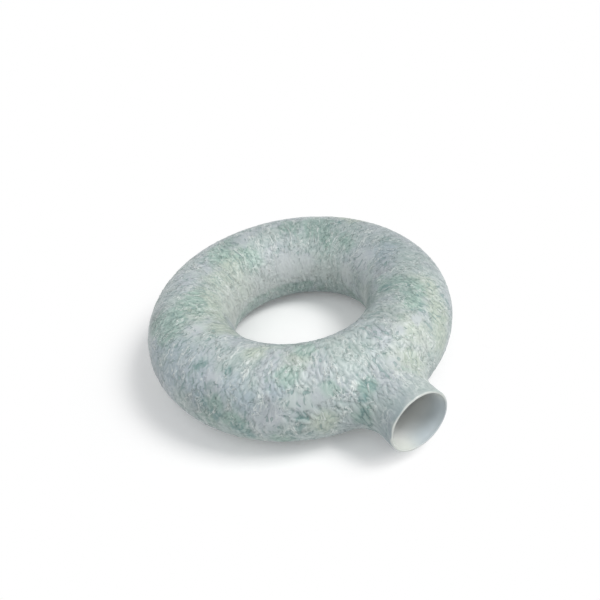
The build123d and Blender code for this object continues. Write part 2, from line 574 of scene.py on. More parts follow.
POOLS = ((-12, 12, 4, 7), (-11, 22, 4, 4), (-13, 1, 5, 6), (-11, -6, 5, 10), (-60, 10, 7),
         (-52, -4, 8), (-66, 20, 5), (-8, 32, 7), (-9, -20, 8), (-70, 64, 5), (-72, 56, 5),
         (-58, 63, 4), (-63, 43, 4), (-8, 12, 8), (-4, 24, 6), (-31, 12, 5), (-50, -14, 7),
         (122, 84, 5), (45, 118, 6))
# The next four tables place painted shade, where the colour goes darker, most of all on the ring's top, and
# painted light, where it goes paler, most of all on its inner wall.
SHADED_PATCHES = ((38, 105, 18), (52, 96, 18), (68, 62, 16), (84, 68, 15), (107, 82, 14), (70, 90, 24),
         (94, 80, 28), (112, 90, 24), (128, 96, 20), (20, 100, 14), (150, 96, 10), (-173, 91, 10),
         (-10, 2, 12), (-62, 36, 8), (-96, -2, 12), (-42, 30, 9), (-11, -16, 12), (-113, 50, 10),
         (-69, 10, 9))
LIT_PATCHES = ((160, 166, 18), (143, 170, 16), (122, 165, 14), (176, 164, 18), (-164, 172, 22),
        (-138, 164, 18), (-122, 168, 17), (20, 36, 15), (100, 165, 10), (-156, -174, 17),
        (176, -176, 14), (66, 165, 12))
SLIGHTLY_SHADED = ((165, 98, 22), (105, 82, 16), (80, 66, 20), (68, 60, 12), (130, 145, 12),
                (-176, 129, 12), (-96, -4, 17), (16, 54, 18), (8, 30, 13), (-28, 108, 14),
                (-33, 82, 10), (-24, 42, 18), (-27, 26, 12), (-60, 0, 13), (-54, 22, 10))
SLIGHTLY_LIT = ((-170, 178, 20), (-160, -176, 16), (-130, 164, 16), (178, -170, 14),
               (160, -165, 12), (104, 160, 8), (130, 171, 10), (64, 174, 12), (87, -148, 12),
               (-80, 134, 10), (-75, 66, 16), (-57, 56, 10), (-71, 47, 10), (-42, 47, 9))
COARSE = ((-16, 36, 62),)
print(len(CALM), "calm patches,", len(GREEN), "green,", len(SAGE), "sage,", len(BLUE), "blue,",
      len(POOLS), "pools")

# %% [markdown]
# A patch fades out softly over its radius. The lower inner wall of the ring, under the seam, faces
# down and away from the light, so a darker, greener band of painted shade lies there. One more value
# says how coarse the strokes are: they are largest on the ring's front.

# %% Values of the glaze at each point
A_LITTLE = 0.4
# The band under the seam is painted shade: it makes the glaze greener and darker there.
SHADE_BAND_GREEN, SHADE_BAND_DARK = 0.45, 0.5
FINE_STROKES, COARSER = 0.64, 0.58
INWARD_FROM, INWARD_OVER = 0.42, 0.35
BAND_BELOW, BAND_EDGE = 0.0035, 0.0025
SQUEEZE = 0.45


def near_patches(points, patches):
    """1 in the middle of any of the patches, fading to 0 over its radius."""
    best = np.zeros(points.shape[:-1])
    for u, v, radius, *lift in patches:
        middle = tube_point(radians(u), radians(v), TUBE_R + sum(lift) / 1000)
        distance = np.linalg.norm(points - middle, axis=-1)
        best = np.maximum(best, np.exp(-(distance / radius * 1000) ** 2))
    return best


def brushed_place(points):
    """A place for fine marks, squeezed over the tube, so that noise read there is drawn out that way."""
    u = np.arctan2(points[..., 0], points[..., 1])
    v = np.arctan2(points[..., 2], np.hypot(points[..., 0], points[..., 1]) - RING_R)
    return np.stack([RING_OUT * np.sin(u), RING_OUT * np.cos(u), SQUEEZE * TUBE_R * v], -1)


def painted_shade_under_seam(points):
    """1 in the band of painted shade on the lower inner wall."""
    inward = (RING_R - np.hypot(points[..., 0], points[..., 1])) / TUBE_R
    inward = np.clip((inward - INWARD_FROM) / INWARD_OVER, 0, 1)
    return inward * np.clip((-points[..., 2] - BAND_BELOW) / BAND_EDGE, 0, 1)


def glaze_places(points):
    """All that the glaze needs to know at each point, by the names of the attributes."""
    # The band of painted shade adds to the green and to the painted shading value.
    band = painted_shade_under_seam(points)
    # Painted shade counts up and painted light counts down in the painted shading value.
    a_little = near_patches(points, SLIGHTLY_SHADED) - near_patches(points, SLIGHTLY_LIT)
    return {"calm": near_patches(points, CALM),
            "green": np.maximum(near_patches(points, GREEN), SHADE_BAND_GREEN * band),
            "thickness": (near_patches(points, SHADED_PATCHES) - near_patches(points, LIT_PATCHES)
                          + A_LITTLE * a_little + SHADE_BAND_DARK * band),
            "sage": near_patches(points, SAGE), "blue": near_patches(points, BLUE),
            "pools": near_patches(points, POOLS),
            "coarseness": FINE_STROKES + COARSER * near_patches(points, COARSE)}


print("at the neck's root:", {name: round(float(value[0]), 2)
                              for name, value in glaze_places(outside[0, :1]).items()})

# %% [markdown]
# The meshes carry what the strokes and the glaze need to know at each point: which way is out,
# which way the brush went, how strong the relief is, how near the lip it is, and whether the point
# is inside or on the bare foot. Neighbouring pieces have the same values along their joint, so the
# strokes run over it without a seam.

# %% From points to meshes
SHARP_OVER = 60


def build_mesh(name, points, faces, numbers, vectors):
    """A mesh in the row frame from points counted from the ring's centre, with its attributes."""
    mesh = bpy.data.meshes.new(name)
    flip = np.array([1, -1, 1])
    mesh.from_pydata((points * flip + RING_CENTRE).tolist(), [], faces)
    for key, values in {**numbers, **glaze_places(points)}.items():
        data = mesh.attributes.new(key, "FLOAT", "POINT").data
        data.foreach_set("value", np.ravel(values).astype(np.float32))
    for key, values in {**vectors, "brushed": brushed_place(points) * flip}.items():
        data = mesh.attributes.new(key, "FLOAT_VECTOR", "POINT").data
        data.foreach_set("vector", np.ravel(values * flip).astype(np.float32))
    work = bmesh.new()
    work.from_mesh(mesh)
    bmesh.ops.recalc_face_normals(work, faces=work.faces)
    if work.calc_volume(signed=True) < 0:
        bmesh.ops.reverse_faces(work, faces=work.faces)
    loose = sum(not edge.is_manifold for edge in work.edges)
    work.to_mesh(mesh)
    work.free()
    mesh.shade_smooth()
    mesh.set_sharp_from_angle(angle=radians(SHARP_OVER))
    piece = bpy.data.objects.new(name, mesh)
    bpy.context.scene.collection.objects.link(piece)
    print(name, len(mesh.polygons), "faces,", loose, "open edges")
    return piece


print("edges stay sharp where they turn by more than", SHARP_OVER, "degrees")

# %% [markdown]
# Each half ring is a shell with an outer and an inner skin. The brush went over the tube, and low
# on the outside it turned to run along the ring. The foot is tapped flat, and it gets no strokes.

# %% The two half rings
TURNS_BELOW, TURNS_OVER, MOST_TURNED = (np.radians(a) for a in (14, 34, 66))


def brush_way_at(u, v):
    """Over the tube from its outer edge to its inner one, turning to along the ring low outside."""
    crossing = np.stack([-np.sin(v) * np.sin(u), -np.sin(v) * np.cos(u), np.cos(v)], -1)
    along = np.stack([np.cos(u), -np.sin(u), 0 * u], -1)
    low = np.clip((TURNS_BELOW - v) / TURNS_OVER, 0, 1) * (np.cos(v) > 0)
    turn = (low * low * (3 - 2 * low) * MOST_TURNED)[:, None]
    return crossing * np.cos(turn) + along * np.sin(turn)


def half_ring(name, side):
    """A half ring from its two skins; side is 1 above the seam and -1 below it."""
    u, v, faces, edge, equator, inner = outer_skin
    u2, v2, faces2, edge2, equator2, inner2 = hollow_skin
    shift = len(u)
    faces = faces + [tuple(i + shift for i in f) for f in faces2]
    edge2, equator2, inner2 = ([i + shift for i in chain] for chain in (edge2, equator2, inner2))
    every_u, every_v = np.concatenate([u, u2]), np.concatenate([v, v2]) * side
    swing = np.arctan2(every_v * side, np.where(every_u > pi, every_u - 2 * pi, every_u))
    faces += zip_chains(edge, edge2, swing[edge], swing[edge2])
    faces += zip_chains(equator, equator2, *(np.linspace(0, 1, len(c)) for c in (equator, equator2)))
    faces += zip_loops(inner, inner2)
    outer = np.arange(len(every_u)) < shift
    points = tube_point(every_u, every_v, np.where(outer, TUBE_R, HOLLOW_R))
    foot_reach = np.where(outer, FOOT_REACH, FOOT_REACH - WALL)
    pressed, leaned, flat = press_foot(points, tube_normal(every_u, every_v), foot_reach)
    numbers = {"relief_share": outer * (1 - flat), "near_lip": 0 * flat, "inner_glaze": ~outer,
               "bare_foot": outer * flat}
    vectors = {"way_out": leaned, "brush_way": brush_way_at(every_u, every_v)}
    return build_mesh(name, pressed, faces, numbers, vectors)


half_ring_upper = half_ring("half_ring_upper", 1)
half_ring_lower = half_ring("half_ring_lower", -1)

# %% [markdown]
# The neck's rows and columns close on themselves, both round the neck and from the outside to the
# inside. The brush strokes get a little lower up the collar and die away near the lip, because the
# potter wiped it. The climb goes from 0 at the skirt's edge to 1 where the lip starts, and a little
# further over the lip, so that the glaze can turn pale there softly.

# %% The neck as a piece
LIP_CLIMB, MOST_CLIMB = 0.07, 1.5
LIP_ROWS_OUTSIDE = 8
FADE_FROM, FADE_POWER = 0.5, 0.35
LOWER_BY, LOWER_FROM, LOWER_OVER = 0.15, 0.15, 0.35
LEAST_LENGTH = 1e-9

row, column = np.meshgrid(np.arange(row_total), np.arange(column_total), indexing="ij")
number = row * column_total + column
right_of, above = np.roll(number, -1, axis=1), np.roll(number, -1, axis=0)
neck_faces = np.stack([number, right_of, np.roll(above, -1, axis=1), above], -1).reshape(-1, 4).tolist()
past_collar = np.minimum(1 + (row - OUTER_ROWS + 1) * LIP_CLIMB, MOST_CLIMB)
climb = np.where(row < OUTER_ROWS, row / (OUTER_ROWS - 1), past_collar)
is_inside = (row > OUTER_ROWS + LIP_ROWS_OUTSIDE).astype(float)
strokes_left = np.clip(1 - (climb - FADE_FROM) / (1 - FADE_FROM), 0, 1) ** FADE_POWER * (row < OUTER_ROWS)
strokes_left = strokes_left * (1 - LOWER_BY * np.clip((climb - LOWER_FROM) / LOWER_OVER, 0, 1))
along_neck = np.gradient(neck_points, axis=0)
along_neck /= np.maximum(np.linalg.norm(along_neck, axis=-1, keepdims=True), LEAST_LENGTH)
neck_piece = build_mesh(
    "neck_collar", neck_points.reshape(-1, 3), neck_faces,
    {"relief_share": strokes_left, "near_lip": climb, "inner_glaze": is_inside, "bare_foot": 0 * climb},
    {"way_out": neck_normals, "brush_way": along_neck})

# %% [markdown]
# Thick slip dabbed on with a stiff brush leaves hundreds of small ridges that lie over each other.
# Sculpting them by hand would take days, and a bump texture would leave the outline smooth. So a
# Geometry Nodes tree lays them as real relief. It scatters stroke centres over the clay a layer at
# a time, and each point of the mesh asks the nearest centre how high that stroke stands there.

# %% Node steps that the strokes need
def reading(tree, name, kind="FLOAT"):
    """A named attribute."""
    return put(tree, "GeometryNodeInputNamedAttribute", {"Name": name}, data_type=kind).outputs["Attribute"]


def keep(tree, geometry, name, value):
    """Stores a number on each point under a name."""
    sockets = {"Geometry": geometry, "Name": name, "Value": value}
    node = put(tree, "GeometryNodeStoreNamedAttribute", sockets, data_type="FLOAT", domain="POINT")
    return node.outputs[0]


def noise(tree, place, scale, detail=1.0, roughness=0.5):
    """Soft cloudy noise about 0.5."""
    sockets = {"Vector": place, "Scale": scale, "Detail": detail, "Roughness": roughness}
    return put(tree, "ShaderNodeTexNoise", sockets).outputs["Fac"]


def cloud(tree, place, scale, detail=1.0, roughness=0.5):
    """The same noise about 0."""
    return minus(tree, noise(tree, place, scale, detail, roughness), 0.5)


def drift(tree, place, scale, detail, reach):
    """Noise in all three directions, to push a place about."""
    sockets = {"Vector": place, "Scale": scale, "Detail": detail}
    colour = put(tree, "ShaderNodeTexNoise", sockets).outputs["Color"]
    return scaled(tree, aim(tree, "SUBTRACT", colour, (0.5, 0.5, 0.5)), reach)


def chance(tree, low, high, seed):
    """A random number for each point."""
    sockets = {2: low, 3: high, "Seed": seed}
    return put(tree, "FunctionNodeRandomValue", sockets, data_type="FLOAT").outputs[1]


def mixed_number(tree, amount, first, second):
    """A number between two others: the first at an amount of 0, the second at 1."""
    return put(tree, "ShaderNodeMix", {0: amount, 2: first, 3: second}).outputs[0]


def joined(tree, x, y, z):
    """Three numbers as one vector, so that they can be asked for in one go."""
    return put(tree, "ShaderNodeCombineXYZ", {0: x, 1: y, 2: z}).outputs[0]


def parts(tree, vector):
    """The three numbers of a vector."""
    return put(tree, "ShaderNodeSeparateXYZ", {0: vector}).outputs


print("stroke helpers ready")

# %% [markdown]
# A stroke is a low mound with steep sides. Along its heading it is a few times as long as it is
# wide, it tapers towards its tail, and it bends a little, as a flick of the wrist does. The heading
# is the way the brush went, turned by a slow swirl, by small eddies and by chance. A new stroke
# covers what lies under it and presses a groove round itself, which is what draws the fine dark
# lines. The first layers are broad tongues of slip, and the last are narrow streaks further apart.

# %% Heading and form of a stroke
EDDY_FINER = 3.3
TAPER = 0.4


def stroke_heading(tree, given, seed, place, way_out, by_layer):
    """Which way the strokes run at a place."""
    swirl = cloud(tree, place, given["Swirl Scale"], 1.5)
    eddy = cloud(tree, place, times(tree, given["Swirl Scale"], EDDY_FINER))
    turned = plus(tree, times(tree, swirl, given["Swirl"]), times(tree, eddy, given["Eddy"]))
    turn = times(tree, given["Turn"], by_layer(0.6, 2.0))
    swing = plus(tree, turned, chance(tree, times(tree, turn, -1.0), turn, seed))
    sockets = {"Vector": reading(tree, "brush_way", "FLOAT_VECTOR"), "Axis": way_out, "Angle": swing}
    return put(tree, "ShaderNodeVectorRotate", sockets).outputs[0]


def off_middle(tree, given, away, along, sideways, length, width, bend):
    """0 in the middle of a stroke, 1 on its edge and more outside, for a place that lies away from it."""
    a = over(tree, aim(tree, "DOT_PRODUCT", away, along), times(tree, given["Stroke Length"], length))
    b = over(tree, aim(tree, "DOT_PRODUCT", away, sideways), times(tree, given["Stroke Width"], width))
    a_squared = times(tree, a, a)
    bowed = plus(tree, b, times(tree, a_squared, bend))
    across = over(tree, bowed, minus(tree, 1.0, times(tree, a, TAPER)))
    return plus(tree, a_squared, times(tree, across, across))


print("a stroke's tail is", 1 - TAPER, "as wide as its middle")

# %% [markdown]
# A layer scatters its centres first. Every one of them gets a length, a width, a height, a bend and
# a tint by chance. These are packed in vectors, so that a point asks its nearest centre only a few
# times.

# %% One layer of strokes
MOST_POINTS = 150000.0
SHAKE_SCALE = 260.0
STEEP, EDGE_HEIGHT = 0.4, 0.2
LONG_SEED, WIDE_SEED, LIFT_SEED, BEND_SEED, DAB_SEED = 301.0, 411.0, 602.0, 903.0, 77.0


def stroke_layer(tree, given, clay, geometry, seed, late):
    """Lays one layer of strokes over what is there. Late goes from 0 in the first to 1 in the last."""
    def by_layer(first, last):
        return plus(tree, first, times(tree, late, last - first))

    def by_chance(low, high, own_seed):
        return chance(tree, low, high, plus(tree, seed, own_seed))

    spacing = times(tree, given["Spacing"], by_layer(1.0, 1.7))
    scattered = put(tree, "GeometryNodeDistributePointsOnFaces", {
        "Mesh": clay, "Distance Min": spacing, "Density Max": MOST_POINTS, "Seed": seed},
        distribute_method="POISSON").outputs["Points"]
    place = put(tree, "GeometryNodeInputPosition").outputs[0]
    sockets = {"Geometry": scattered, "Sample Position": place}
    nearest = put(tree, "GeometryNodeSampleNearest", sockets).outputs[0]

    def of_nearest(value):
        sockets = {"Geometry": scattered, "Value": value, "Index": nearest}
        node = put(tree, "GeometryNodeSampleIndex", sockets, data_type="FLOAT_VECTOR", domain="POINT")
        return node.outputs[0]

    way_out = aim(tree, "NORMALIZE", reading(tree, "way_out", "FLOAT_VECTOR"))
    long = times(tree, by_chance(0.5, 1.25, LONG_SEED), reading(tree, "coarseness"))
    wide = times(tree, by_chance(0.6, 1.3, WIDE_SEED), reading(tree, "coarseness"))
    wide = times(tree, wide, by_layer(1.6, 0.8))
    size = joined(tree, long, wide, by_chance(0.45, 1.0, LIFT_SEED))
    mood = joined(tree, by_chance(-1.3, 1.3, BEND_SEED), by_chance(0.0, 1.0, DAB_SEED), 0.0)
    centre, out = of_nearest(place), of_nearest(way_out)
    along = of_nearest(stroke_heading(tree, given, seed, place, way_out, by_layer))
    length, width, lift = parts(tree, of_nearest(size))
    bend, dab, _ = parts(tree, of_nearest(mood))

    away = aim(tree, "SUBTRACT", place, centre)
    away = aim(tree, "ADD", away, drift(tree, place, SHAKE_SCALE, 3.0, given["Shake"]))
    sideways = aim(tree, "CROSS_PRODUCT", out, along)
    off = off_middle(tree, given, away, along, sideways, length, width, bend)
    dome = calc(tree, "POWER", minus(tree, 1.0, off, clamp=True), STEEP)
    mound = plus(tree, EDGE_HEIGHT, times(tree, dome, minus(tree, lift, EDGE_HEIGHT)))
    covered = ramp(tree, off, 1.0, 0.85)
    groove = ramp(tree, off, 1.0, 1.8, 0.45, 1.0)
    relief = mixed_number(tree, covered, times(tree, reading(tree, "relief"), groove), mound)
    geometry = keep(tree, geometry, "dab", mixed_number(tree, covered, reading(tree, "dab"), dab))
    return keep(tree, geometry, "relief", relief)


print("a stroke starts at", EDGE_HEIGHT, "of full height on its edge")

# %% [markdown]
# The layers go in a Repeat Zone, with another seed each time round. Afterwards the calm patches,
# where the glaze ran thick and level, are filled up. Last, every point sinks by what it lacks of
# full height, so the tops of the ridges stay on the clay's true surface.

# %% The tree of strokes
FLOAT = "NodeSocketFloat"
START_RELIEF, START_DAB = 0.35, 0.5
SEED_STEP = 17.0
LEAST_RELIEF = 0.02
LEVEL_HEIGHT, LEVEL_SHARE = 0.72, 0.82
COARSE_DEEPER = 1.35


def levelled(tree, geometry):
    """Fills up the calm patches, with ragged edges."""
    place = put(tree, "GeometryNodeInputPosition").outputs[0]
    ragged = plus(tree, reading(tree, "calm"), times(tree, cloud(tree, place, 110.0, 4.0, 0.6), 2.2))
    level = ramp(tree, ragged, 0.32, 0.8, 0.0, LEVEL_SHARE)
    height = reading(tree, "relief")
    filled = plus(tree, height, times(tree, minus(tree, LEVEL_HEIGHT, height), level))
    return keep(tree, keep(tree, geometry, "levelled", level), "relief", filled)


def brush_strokes_tree():
    """The whole tree, with a named input for each size and for the ground, the seed and the finish."""
    tree = bpy.data.node_groups.new("brush strokes", "GeometryNodeTree")
    sockets_of(tree, "INPUT", Geometry="NodeSocketGeometry", Ground="NodeSocketCollection",
               Layers="NodeSocketInt", Spacing=FLOAT, Stroke_Length=FLOAT, Stroke_Width=FLOAT, Shake=FLOAT,
               Swirl=FLOAT, Swirl_Scale=FLOAT, Eddy=FLOAT, Turn=FLOAT, Depth=FLOAT, Seed="NodeSocketInt",
               Finish="NodeSocketMaterial")
    sockets_of(tree, "OUTPUT", Geometry="NodeSocketGeometry")
    given = {socket.name: socket for socket in put(tree, "NodeGroupInput").outputs if socket.name}
    clay = put(tree, "GeometryNodeCollectionInfo", {"Collection": given["Ground"]}).outputs[0]
    clay = put(tree, "GeometryNodeRealizeInstances", {"Geometry": clay}).outputs[0]
    spot = put(tree, "GeometryNodeInputPosition").outputs[0]
    unevenness = ramp(tree, noise(tree, spot, 26.0), 0.36, 0.62, 0.74, 1.34)
    varied = times(tree, reading(tree, "coarseness"), unevenness)
    clay = keep(tree, clay, "coarseness", varied)
    plain = calc(tree, "LESS_THAN", reading(tree, "relief_share"), LEAST_RELIEF)
    clay = put(tree, "GeometryNodeDeleteGeometry", {"Geometry": clay, "Selection": plain}).outputs[0]

    start = keep(tree, given["Geometry"], "coarseness", varied)
    start = keep(tree, keep(tree, start, "relief", START_RELIEF), "dab", START_DAB)
    entry, leave = tree.nodes.new("GeometryNodeRepeatInput"), tree.nodes.new("GeometryNodeRepeatOutput")
    entry.pair_with_output(leave)
    tree.links.new(given["Layers"], entry.inputs["Iterations"])
    tree.links.new(start, entry.inputs["Geometry"])
    layer_seed = plus(tree, times(tree, entry.outputs["Iteration"], SEED_STEP), given["Seed"])
    late = over(tree, entry.outputs["Iteration"], minus(tree, given["Layers"], 1.0))
    layer = stroke_layer(tree, given, clay, entry.outputs["Geometry"], layer_seed, late)
    tree.links.new(layer, leave.inputs["Geometry"])

    done = levelled(tree, leave.outputs["Geometry"])
    lack = times(tree, minus(tree, 1.0, reading(tree, "relief")), reading(tree, "relief_share"))
    deep = times(tree, given["Depth"], calc(tree, "POWER", reading(tree, "coarseness"), COARSE_DEEPER))
    inward = times(tree, times(tree, lack, deep), -1.0)
    sink = scaled(tree, reading(tree, "way_out", "FLOAT_VECTOR"), inward)
    moved = put(tree, "GeometryNodeSetPosition", {"Geometry": done, "Offset": sink}).outputs[0]
    real = put(tree, "GeometryNodeRealizeInstances", {"Geometry": moved}).outputs[0]
    dressed = put(tree, "GeometryNodeSetMaterial", {"Geometry": real, "Material": given["Finish"]})
    put(tree, "NodeGroupOutput", {"Geometry": dressed.outputs[0]})
    return tree


strokes_tree = brush_strokes_tree()
print(strokes_tree.name, len(strokes_tree.nodes), "nodes")

# %% [markdown]
# Glaze is glass with colour in it. Where it is thick it pools dark, and where it is thin over a
# ridge it breaks pale. The dark in the hollows is partly painted shade, and the pale on the ridges
# partly a painted highlight. The relief that the strokes left says where that is. Both finishes share
# these effects, so each is a group of shader nodes, made once. The first one mixes the colours of
# the patches, with ragged edges from noise.

# %% Shader groups: the zones of the glaze
def shader_group(name, inputs, outputs):
    """A new shader node group with named sockets. Gives the group and its inputs from within."""
    tree = bpy.data.node_groups.new(name, "ShaderNodeTree")
    sockets_of(tree, "INPUT", **inputs)
    sockets_of(tree, "OUTPUT", **outputs)
    return tree, put(tree, "NodeGroupInput").outputs


def blend(tree, amount, first, second, mode="MIX"):
    """Mixes two colours."""
    node = put(tree, "ShaderNodeMix", {0: amount, 6: first, 7: second}, data_type="RGBA", blend_type=mode)
    return node.outputs[2]


COLOUR, PLACE = "NodeSocketColor", "NodeSocketVector"
zones, given = shader_group(
    "glaze zones",
    dict(Place=PLACE, Calm=FLOAT, Green=FLOAT, Sage=FLOAT, Blue=FLOAT, Lilac_Glaze=COLOUR,
         Green_Glaze=COLOUR, Celadon_Glaze=COLOUR, Sage_Glaze=COLOUR, Blue_Glaze=COLOUR),
    dict(Colour=COLOUR, Greenness=FLOAT))
ragged = cloud(zones, given["Place"], 120.0, 4.0, 0.62)
broad = cloud(zones, given["Place"], 34.0, 2.0)


def with_edges(zone, raggedness, broadness=0.0):
    """The zone's value with ragged edges, and with broad bays where a broadness is given."""
    edges = times(zones, ragged, raggedness)
    if broadness:
        edges = plus(zones, edges, times(zones, broad, broadness))
    return plus(zones, given[zone], edges)


greenness = ramp(zones, with_edges("Green", 1.5, 1.6), 0.12, 0.75)
lilac = ramp(zones, broad, -0.14, 0.14, 0.15, 0.8)
sage = ramp(zones, with_edges("Sage", 1.2, -0.8), 0.0, 0.9, 0.0, 0.8)
blue = ramp(zones, with_edges("Blue", 1.4), 0.0, 0.95, 0.0, 0.8)
calm = ramp(zones, with_edges("Calm", 2.4), 0.35, 1.0, 0.0, 0.65)
mixed = given["Celadon Glaze"]
for amount, glaze in ((lilac, "Lilac"), (sage, "Sage"), (blue, "Blue"),
                      (times(zones, greenness, 0.8), "Green"), (calm, "Lilac")):
    mixed = blend(zones, amount, mixed, given[glaze + " Glaze"])
put(zones, "NodeGroupOutput", {"Colour": mixed, "Greenness": greenness})
print(zones.name, len(zones.nodes), "nodes")

# %% [markdown]
# The second group makes the marks that are finer than the mesh: thin creases that the bristles
# left, which darken the colour partly as painted shade, the fine ribs between them, which are also
# painted pale as painted highlights, and drops, the small slits between dabs that filled up with
# teal glaze. They are drawn out over the tube, and the drops show best on the level patches.

# %% Shader groups: bristle marks
MARK_SCALE, RIB_SCALE, SWELL_SCALE = 330.0, 380.0, 260.0
bristles, given = shader_group(
    "bristle marks", dict(Brushed=PLACE, Place=PLACE, Levelled=FLOAT, Amount=FLOAT),
    dict(Marks=FLOAT, Ribs=FLOAT, Drops=FLOAT, Height=FLOAT))
place = aim(bristles, "ADD", given["Brushed"], drift(bristles, given["Place"], 48.0, 2.0, 0.022))


def thin_lines(place, scale, outer, inner):
    """1 on the thin lines where noise passes its middle value, 0 beside them."""
    off_line = calc(bristles, "ABSOLUTE", cloud(bristles, place, scale, 2.0))
    return ramp(bristles, off_line, outer, inner)


broken = ramp(bristles, noise(bristles, place, 200.0), 0.47, 0.62)
crease = times(bristles, thin_lines(place, MARK_SCALE, 0.03, 0.0), broken)
crease = times(bristles, crease, minus(bristles, 1.0, given["Levelled"], clamp=True))
# The ribs are fine bumps, and the glaze paints them pale as painted highlights.
beside = aim(bristles, "ADD", place, (0.3, 0.1, 0.2))
here_and_there = ramp(bristles, noise(bristles, place, 150.0), 0.5, 0.62)
ribs_and_glints = times(bristles, thin_lines(beside, RIB_SCALE, 0.06, 0.02), here_and_there)
unlevelled = minus(bristles, given["Amount"], times(bristles, given["Levelled"], 0.7))
ribs_and_glints = times(bristles, ribs_and_glints, unlevelled, clamp=True)
plenty = ramp(bristles, noise(bristles, given["Place"], 44.0, 2.0), 0.42, 0.62, -0.02, 0.08)
drop_noise = minus(bristles, noise(bristles, place, MARK_SCALE), plenty)
drops = times(bristles, ramp(bristles, drop_noise, 0.325, 0.285), given["Amount"])
marks = calc(bristles, "MAXIMUM", times(bristles, crease, given["Amount"]), drops)
swell = times(bristles, noise(bristles, place, SWELL_SCALE, 2.0), given["Amount"])
height = plus(bristles, minus(bristles, swell, marks), times(bristles, ribs_and_glints, 0.5))
put(bristles, "NodeGroupOutput", {"Marks": marks, "Ribs": ribs_and_glints, "Drops": drops, "Height": height})
print(bristles.name, len(bristles.nodes), "nodes")

# %% [markdown]
# The third group lets the glaze pool and break. Hollows take a deeper colour, most of all in the
# green zones and the dark pools, partly as painted shade. Ridges go pale, partly as a painted
# highlight, and the ribs go pale as painted highlights. Each dab of slip also has a tint of its own.
# Where the shading value is above 0 everything is painted a little darker as shade, and where it is
# below 0 a pale colour is painted in as light.

# %% Shader groups: pools and ridges
def srgb(red, green, blue):
    """A colour as a painter's values from 0 to 255, turned to what the nodes take."""
    values = (((c / 255 + 0.055) / 1.055) ** 2.4 if c > 10 else c / 255 / 12.92 for c in (red, green, blue))
    return (*values, 1.0)


DULLER_DAB, BRIGHTER_DAB = (0.9, 0.92, 0.92, 1), (1, 1, 1, 1)
# Painted light: a paler colour where the shading value is below 0. Painted shade: darker where it is above
# 0.
PAINTED_LIGHT_TINT, PAINTED_SHADE_TINT = srgb(222, 227, 224), (0.78, 0.79, 0.8, 1)
pooling, given = shader_group(
    "pooled glaze",
    dict(Place=PLACE, Glaze=COLOUR, Relief=FLOAT, Dab=FLOAT, Greenness=FLOAT, Pools=FLOAT, Marks=FLOAT,
         Ribs=FLOAT, Drops=FLOAT, Thickness=FLOAT, Hollow_Glaze=COLOUR, Teal_Glaze=COLOUR,
         Ridge_Glaze=COLOUR, Strength=FLOAT),
    dict(Colour=COLOUR, Roughness=FLOAT, Height=FLOAT))
fine = cloud(pooling, given["Place"], 900.0, 3.0, 0.6)
height = plus(pooling, given["Relief"], times(pooling, fine, 0.25))
pool_noise = cloud(pooling, given["Place"], 260.0, 3.0, 0.6)

# Hollows and creases go darker: glaze pooled there, and partly painted shade.
hollow = calc(pooling, "MAXIMUM", ramp(pooling, height, 0.45, 0.12), times(pooling, given["Marks"], 0.6))
hollow = times(pooling, hollow, given["Strength"])
hollow = times(pooling, hollow, plus(pooling, 0.6, times(pooling, given["Greenness"], 0.4)))
deep = ramp(pooling, plus(pooling, given["Pools"], pool_noise), 0.25, 0.9, 0.0, 0.55)
teal = ramp(pooling, plus(pooling, given["Pools"], times(pooling, pool_noise, 2.2)), 0.4, 1.0)
teal = times(pooling, teal, ramp(pooling, height, 0.75, 0.3))
# Ridges and ribs go pale: partly glaze that breaks thin, partly painted highlights.
ridge = times(pooling, ramp(pooling, height, 0.42, 0.8), given["Strength"])
pale = plus(pooling, times(pooling, ridge, 0.28), times(pooling, given["Ribs"], 0.7), clamp=True)

tint = blend(pooling, given["Dab"], DULLER_DAB, BRIGHTER_DAB)
mixed = blend(pooling, 1.0, given["Glaze"], tint, "MULTIPLY")
mixed = blend(pooling, deep, mixed, given["Teal Glaze"])
mixed = blend(pooling, hollow, mixed, given["Hollow Glaze"])
mixed = blend(pooling, times(pooling, teal, 0.62), mixed, given["Teal Glaze"])
mixed = blend(pooling, pale, mixed, given["Ridge Glaze"])
mixed = blend(pooling, times(pooling, given["Drops"], 0.42), mixed, given["Teal Glaze"])
# Painted light, then painted shade, from the shading value.
mixed = blend(pooling, ramp(pooling, given["Thickness"], 0.0, -1.5, 0.0, 0.62), mixed, PAINTED_LIGHT_TINT)
mixed = blend(pooling, ramp(pooling, given["Thickness"], 0.0, 1.0), mixed, PAINTED_SHADE_TINT, "MULTIPLY")
rough = ramp(pooling, height, 0.1, 0.9, 0.3, 0.42)
put(pooling, "NodeGroupOutput", {"Colour": mixed, "Roughness": rough, "Height": fine})
print(pooling.name, len(pooling.nodes), "nodes")

# %% [markdown]
# On the neck the glaze turns blue-grey on its way up, darker on the left flank as painted shade, and
# thins to a pale lip. Inside, a plain pale glaze makes the vase hold water. It is painted paler deep
# inside, as painted light in the dark bore, and runs blue-grey to one side of the mouth.

# %% The glaze of the neck
# The cool side is blue-grey glaze and painted shade on the neck's left flank, away from the key lamp.
WARM_SIDE, COOL_SHADED_SIDE = srgb(176, 187, 184), srgb(149, 163, 168)
PALE_LIP, COOL_LIP = srgb(208, 213, 208), srgb(186, 195, 198)
# Deep inside, the bore is painted paler than near the lip, as painted light in its shade.
DEEP_INSIDE_LIGHTENED, NEAR_LIP, BLUE_RUN = srgb(246, 248, 246), srgb(221, 225, 219), srgb(192, 202, 207)
RUN_ACROSS, RUN_DOWN = 0.77, 0.64


def value_of(tree, name):
    """A named attribute in a material."""
    return put(tree, "ShaderNodeAttribute", attribute_name=name).outputs["Fac"]


